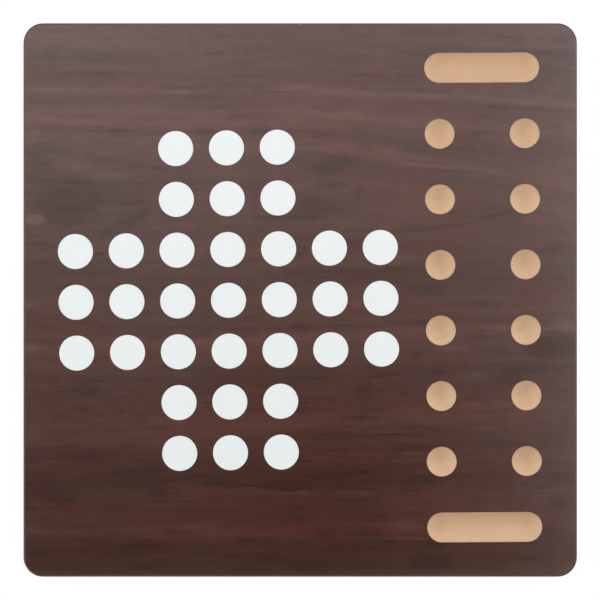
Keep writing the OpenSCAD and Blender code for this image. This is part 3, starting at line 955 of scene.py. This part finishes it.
# Dark moulded rubber with a dusty skin that is slightly worn where it stands.
FOOT_RUBBER = PlainFinish(
    Slot.FOOT_RUBBER,
    dark=(0.016, 0.016, 0.018),
    light=(0.036, 0.036, 0.038),
    textures=(
        Texture(Layer((0.6, 0.6, 0.6), 5, roughness=0.6), 0.6, 0.15),
        Texture(Layer((6, 6, 4), 16), 0.9),
    ),
    relief=Relief(0.05, 0.5),
    roughness=0.78,
    tone=0.35,
    wear=Fade(1.6, 0.0, 0.35),
)
# Bright zinc plating with a slight bluish cloud and fine scratches.
PLATED_STEEL = PlainFinish(
    Slot.PLATED_STEEL,
    dark=(0.50, 0.51, 0.54),
    light=(0.66, 0.67, 0.69),
    textures=(
        Texture(Layer((4, 0.25, 4), 31, roughness=0.6), 0.7, 0.2),
        Texture(Layer((3, 3, 3), 9), 1.0, 0.1),
    ),
    relief=Relief(0.01, 0.3),
    roughness=0.33,
    metallic=1.0,
)

# ---- Sub-assemblies --------------------------


def dress(node: str, material: bpy.types.Material, slot: Slot) -> None:
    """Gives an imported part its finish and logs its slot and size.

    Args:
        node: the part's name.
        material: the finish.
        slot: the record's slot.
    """
    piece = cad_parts[node]
    piece.data.materials.clear()
    piece.data.materials.append(material)
    low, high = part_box(node)
    size = ", ".join(f"{length / MM:.1f}" for length in high - low)
    LOG.info("%s: %s, %s mm", node, slot.value, size)


@dataclass(frozen=True)
class Panel:
    """The faced board: its core, the two sheets glued to it and the edging round it."""

    core: PlainFinish = FIBREBOARD
    face: FaceLaminate = FaceLaminate()
    backing: PlainFinish = BACKING_LAMINATE
    edging: PlainFinish = EDGE_BAND

    def build(self) -> None:
        """Dresses the four layers."""
        dress("core_board", self.core.material(), Slot.FIBREBOARD)
        dress("top_laminate", self.face.material(), Slot.FACE_LAMINATE)
        dress("underside_laminate", self.backing.material(), Slot.BACKING_LAMINATE)
        dress("edge_band", self.edging.material(), Slot.EDGE_BAND)


@dataclass(frozen=True)
class SolitaireField:
    """The white discs set flush in the face, named by column letter and row number."""

    columns: str = "abcdefg"
    rows: int = 7
    arm: tuple[int, int] = (3, 5)  # the first and last row, and column, of the cross's arms
    plastic: PlainFinish = WHITE_PLASTIC

    def names(self) -> list[str]:
        """The discs' names, row by row."""
        low, high = self.arm
        return [
            f"spot_{letter}{row}"
            for row in range(1, self.rows + 1)
            for column, letter in enumerate(self.columns, 1)
            if low <= row <= high or low <= column <= high
        ]

    def build(self) -> None:
        """Dresses every disc."""
        material = self.plastic.material()
        for name in self.names():
            dress(name, material, Slot.WHITE_DISC)


@dataclass(frozen=True)
class Feet:
    """Four rubber feet with a washer and a screw in each."""

    corners: tuple[str, ...] = ("front_left", "front_right", "back_left", "back_right")
    rubber: PlainFinish = FOOT_RUBBER
    steel: PlainFinish = PLATED_STEEL

    def build(self) -> None:
        """Dresses the feet, the washers and the screws."""
        rubber = self.rubber.material()
        for corner in self.corners:
            dress(f"foot_{corner}", rubber, Slot.FOOT_RUBBER)
        steel = self.steel.material()
        for name in ("foot_washers", "foot_screws"):
            dress(name, steel, Slot.PLATED_STEEL)


# ---- Studio ----------------------------------


def put(name: str, data: Any) -> bpy.types.Object:
    """Puts a new object into the scene.

    Args:
        name: the object's name.
        data: its lamp, camera or mesh.

    Returns:
        The object.
    """
    thing = bpy.data.objects.new(name, data)
    bpy.context.scene.collection.objects.link(thing)
    return thing


@dataclass(frozen=True)
class SoftBox:
    """A soft lamp on a sphere round the board, facing its middle."""

    name: str
    azimuth: float  # degrees from +X towards +Y
    elevation: float  # degrees above the floor; the floor lets light through from below
    width: float
    height: float
    radiance: float
    distance: float = 3.4

    def place(self) -> None:
        """Makes the lamp, with the power that gives its face the radiance."""
        around, up = math.radians(self.azimuth), math.radians(self.elevation)
        flat = math.cos(up)
        away = Vector((math.cos(around) * flat, math.sin(around) * flat, math.sin(up)))
        lamp = bpy.data.lights.new(self.name, "AREA")
        lamp.shape = "RECTANGLE"
        lamp.size, lamp.size_y = self.width, self.height
        lamp.energy = self.radiance * math.pi * self.width * self.height
        holder = put(self.name, lamp)
        holder.location = away * self.distance
        holder.rotation_euler = (-away).to_track_quat("-Z", "Y").to_euler()
        holder.visible_camera = False


@dataclass(frozen=True)
class Studio:
    """The pale floor, the soft lamps and the light from all round."""

    boxes: tuple[SoftBox, ...] = (
        SoftBox("right_low_box", 20.0, 24.0, 2.6, 0.95, 4.0),
        SoftBox("left_low_box", 180.0, 22.0, 3.0, 0.95, 1.6),
        SoftBox("back_left_low_box", 148.0, 30.0, 1.6, 0.95, 4.2),
        SoftBox("front_left_low_box", 212.0, 30.0, 1.6, 0.95, 3.6),
        SoftBox("front_right_low_box", 325.0, 28.0, 2.2, 0.95, 1.1),
        SoftBox("right_high_box", 15.0, 63.0, 1.9, 1.1, 4.5),
        SoftBox("back_right_box", 62.0, 64.0, 1.5, 0.9, 2.5),
        SoftBox("back_left_box", 115.0, 60.0, 1.2, 0.8, 1.45),
        SoftBox("left_high_box", 150.0, 62.0, 1.4, 0.9, 3.6),
        SoftBox("top_box", 120.0, 77.0, 1.2, 0.75, 4.5),
        SoftBox("under_box", 250.0, -68.0, 3.0, 3.0, 3.0),  # for looks at the underside
    )
    ambient: Colour = (0.10, 0.10, 0.10)
    overhead: Fade = Fade(0.1, 0.35)  # height of a direction, over which the white turns dim
    paper: Colour = (0.8, 0.8, 0.8)
    floor_reach: float = 60.0
    floor_drop: float = 0.0005  # the floor lies just under the feet, so that the two don't meet
    floor_glow: float = 1.03  # makes the floor's white 1 again, with what the shade takes away
    shade: Patch = Patch(0.0, 0.0, 2500.0, 2500.0, -0.09)  # what a shadow can take from the white

    def build(self) -> None:
        """Makes the lamps, the floor and the world."""
        for box in self.boxes:
            box.place()
        self._floor()
        self._world()
        bpy.context.scene.view_settings.view_transform = "Standard"

    def _floor(self) -> None:
        """Makes the floor: white to the camera but for a faint shadow, pale for other light.

        It is one wide triangle, so that no seam between two faces lies under the board.
        """
        turns = np.radians((90.0, 210.0, 330.0))
        corners = np.stack([np.cos(turns), np.sin(turns), np.zeros(3)], axis=1) * self.floor_reach
        corners[:, 2] = -self.floor_drop
        mesh = bpy.data.meshes.new("floor")
        mesh.from_pydata(corners.tolist(), [], [(0, 1, 2)])
        floor = put("floor", mesh)
        floor.visible_shadow = False
        g = Graph("floor_finish")
        paper = g.add("BsdfDiffuse", {}, {"Color": (*self.paper, 1.0)}).outputs[0]
        inputs = {"Color": (*WHITE, 1.0), "Strength": self.floor_glow}
        glow = g.add("Emission", {}, inputs).outputs[0]
        lit = 1 + g.patched((self.shade,), g.vector(g.x, g.y, 0.0))
        top = g.blend(self._seen(g), paper, g.blend(lit, paper, glow))
        clear = g.add("BsdfTransparent").outputs[0]
        under = g.add("NewGeometry").outputs["Backfacing"]
        g.add("OutputMaterial", {}, {"Surface": g.blend(under, top, clear)})
        mesh.materials.append(g.material)

    @staticmethod
    def _seen(g: Graph) -> Value:
        """Tells what is looked at from what only gives light.

        Args:
            g: the graph.

        Returns:
            1 for what the camera, gloss and clear parts see, 0 for other light.
        """
        path = g.add("LightPath").outputs
        kinds = ("Is Camera Ray", "Is Glossy Ray", "Is Transmission Ray")
        camera, glossy, clear = (Value(g, path[kind]) for kind in kinds)
        return camera.most(glossy).most(clear)

    def _world(self) -> None:
        """Makes the light from all round: white behind the board, dim overhead."""
        world = bpy.data.worlds.new("studio")
        bpy.context.scene.world = world
        world.use_nodes = True
        g = WorldGraph(world)
        height = Value(g, g.add("SeparateXYZ", {}, {0: g.direction}).outputs[2])
        camera = Value(g, g.add("LightPath").outputs["Is Camera Ray"])
        share = self._seen(g) * (1 - g.faded(height, self.overhead) * (1 - camera))
        dim, white = (
            g.add("Background", {}, {0: (*colour, 1.0), 1: 1.0}).outputs[0]
            for colour in (self.ambient, WHITE)
        )
        g.add("OutputWorld", {}, {"Surface": g.blend(share, dim, white)})


class WorldGraph(Graph):
    """The world's shader graph."""

    def __init__(self, world: bpy.types.World) -> None:
        """Empties the world's tree and keeps the direction looked in.

        Args:
            world: the world.
        """
        self.tree = world.node_tree
        self.tree.nodes.clear()
        self.direction = self.add("TexCoord").outputs["Generated"]


@dataclass(frozen=True)
class Viewpoint:
    """The camera, straight above the board, with the board's back edge at the top."""

    lens: float = 85.0  # mm
    sensor: float = 36.0  # mm
    frame_width: float = 0.5957  # what the picture spans at the board's face
    face_z: float = 0.0256
    aside: float = -0.0002  # the camera's place right of the board's middle

    def build(self) -> None:
        """Makes the camera."""
        data = bpy.data.cameras.new("camera")
        data.lens, data.sensor_width = self.lens, self.sensor
        camera = put("camera", data)
        away = self.frame_width * self.lens / self.sensor
        camera.location = (self.aside, 0.0, self.face_z + away)
        bpy.context.scene.camera = camera


def main() -> None:
    """Builds the sub-assemblies in order, then the studio round them."""
    logging.basicConfig(level=logging.INFO, format="%(message)s")
    for part in (Panel(), SolitaireField(), Feet(), Studio(), Viewpoint()):
        part.build()
        LOG.info("built %s", type(part).__name__)


if __name__ == "__main__":
    main()
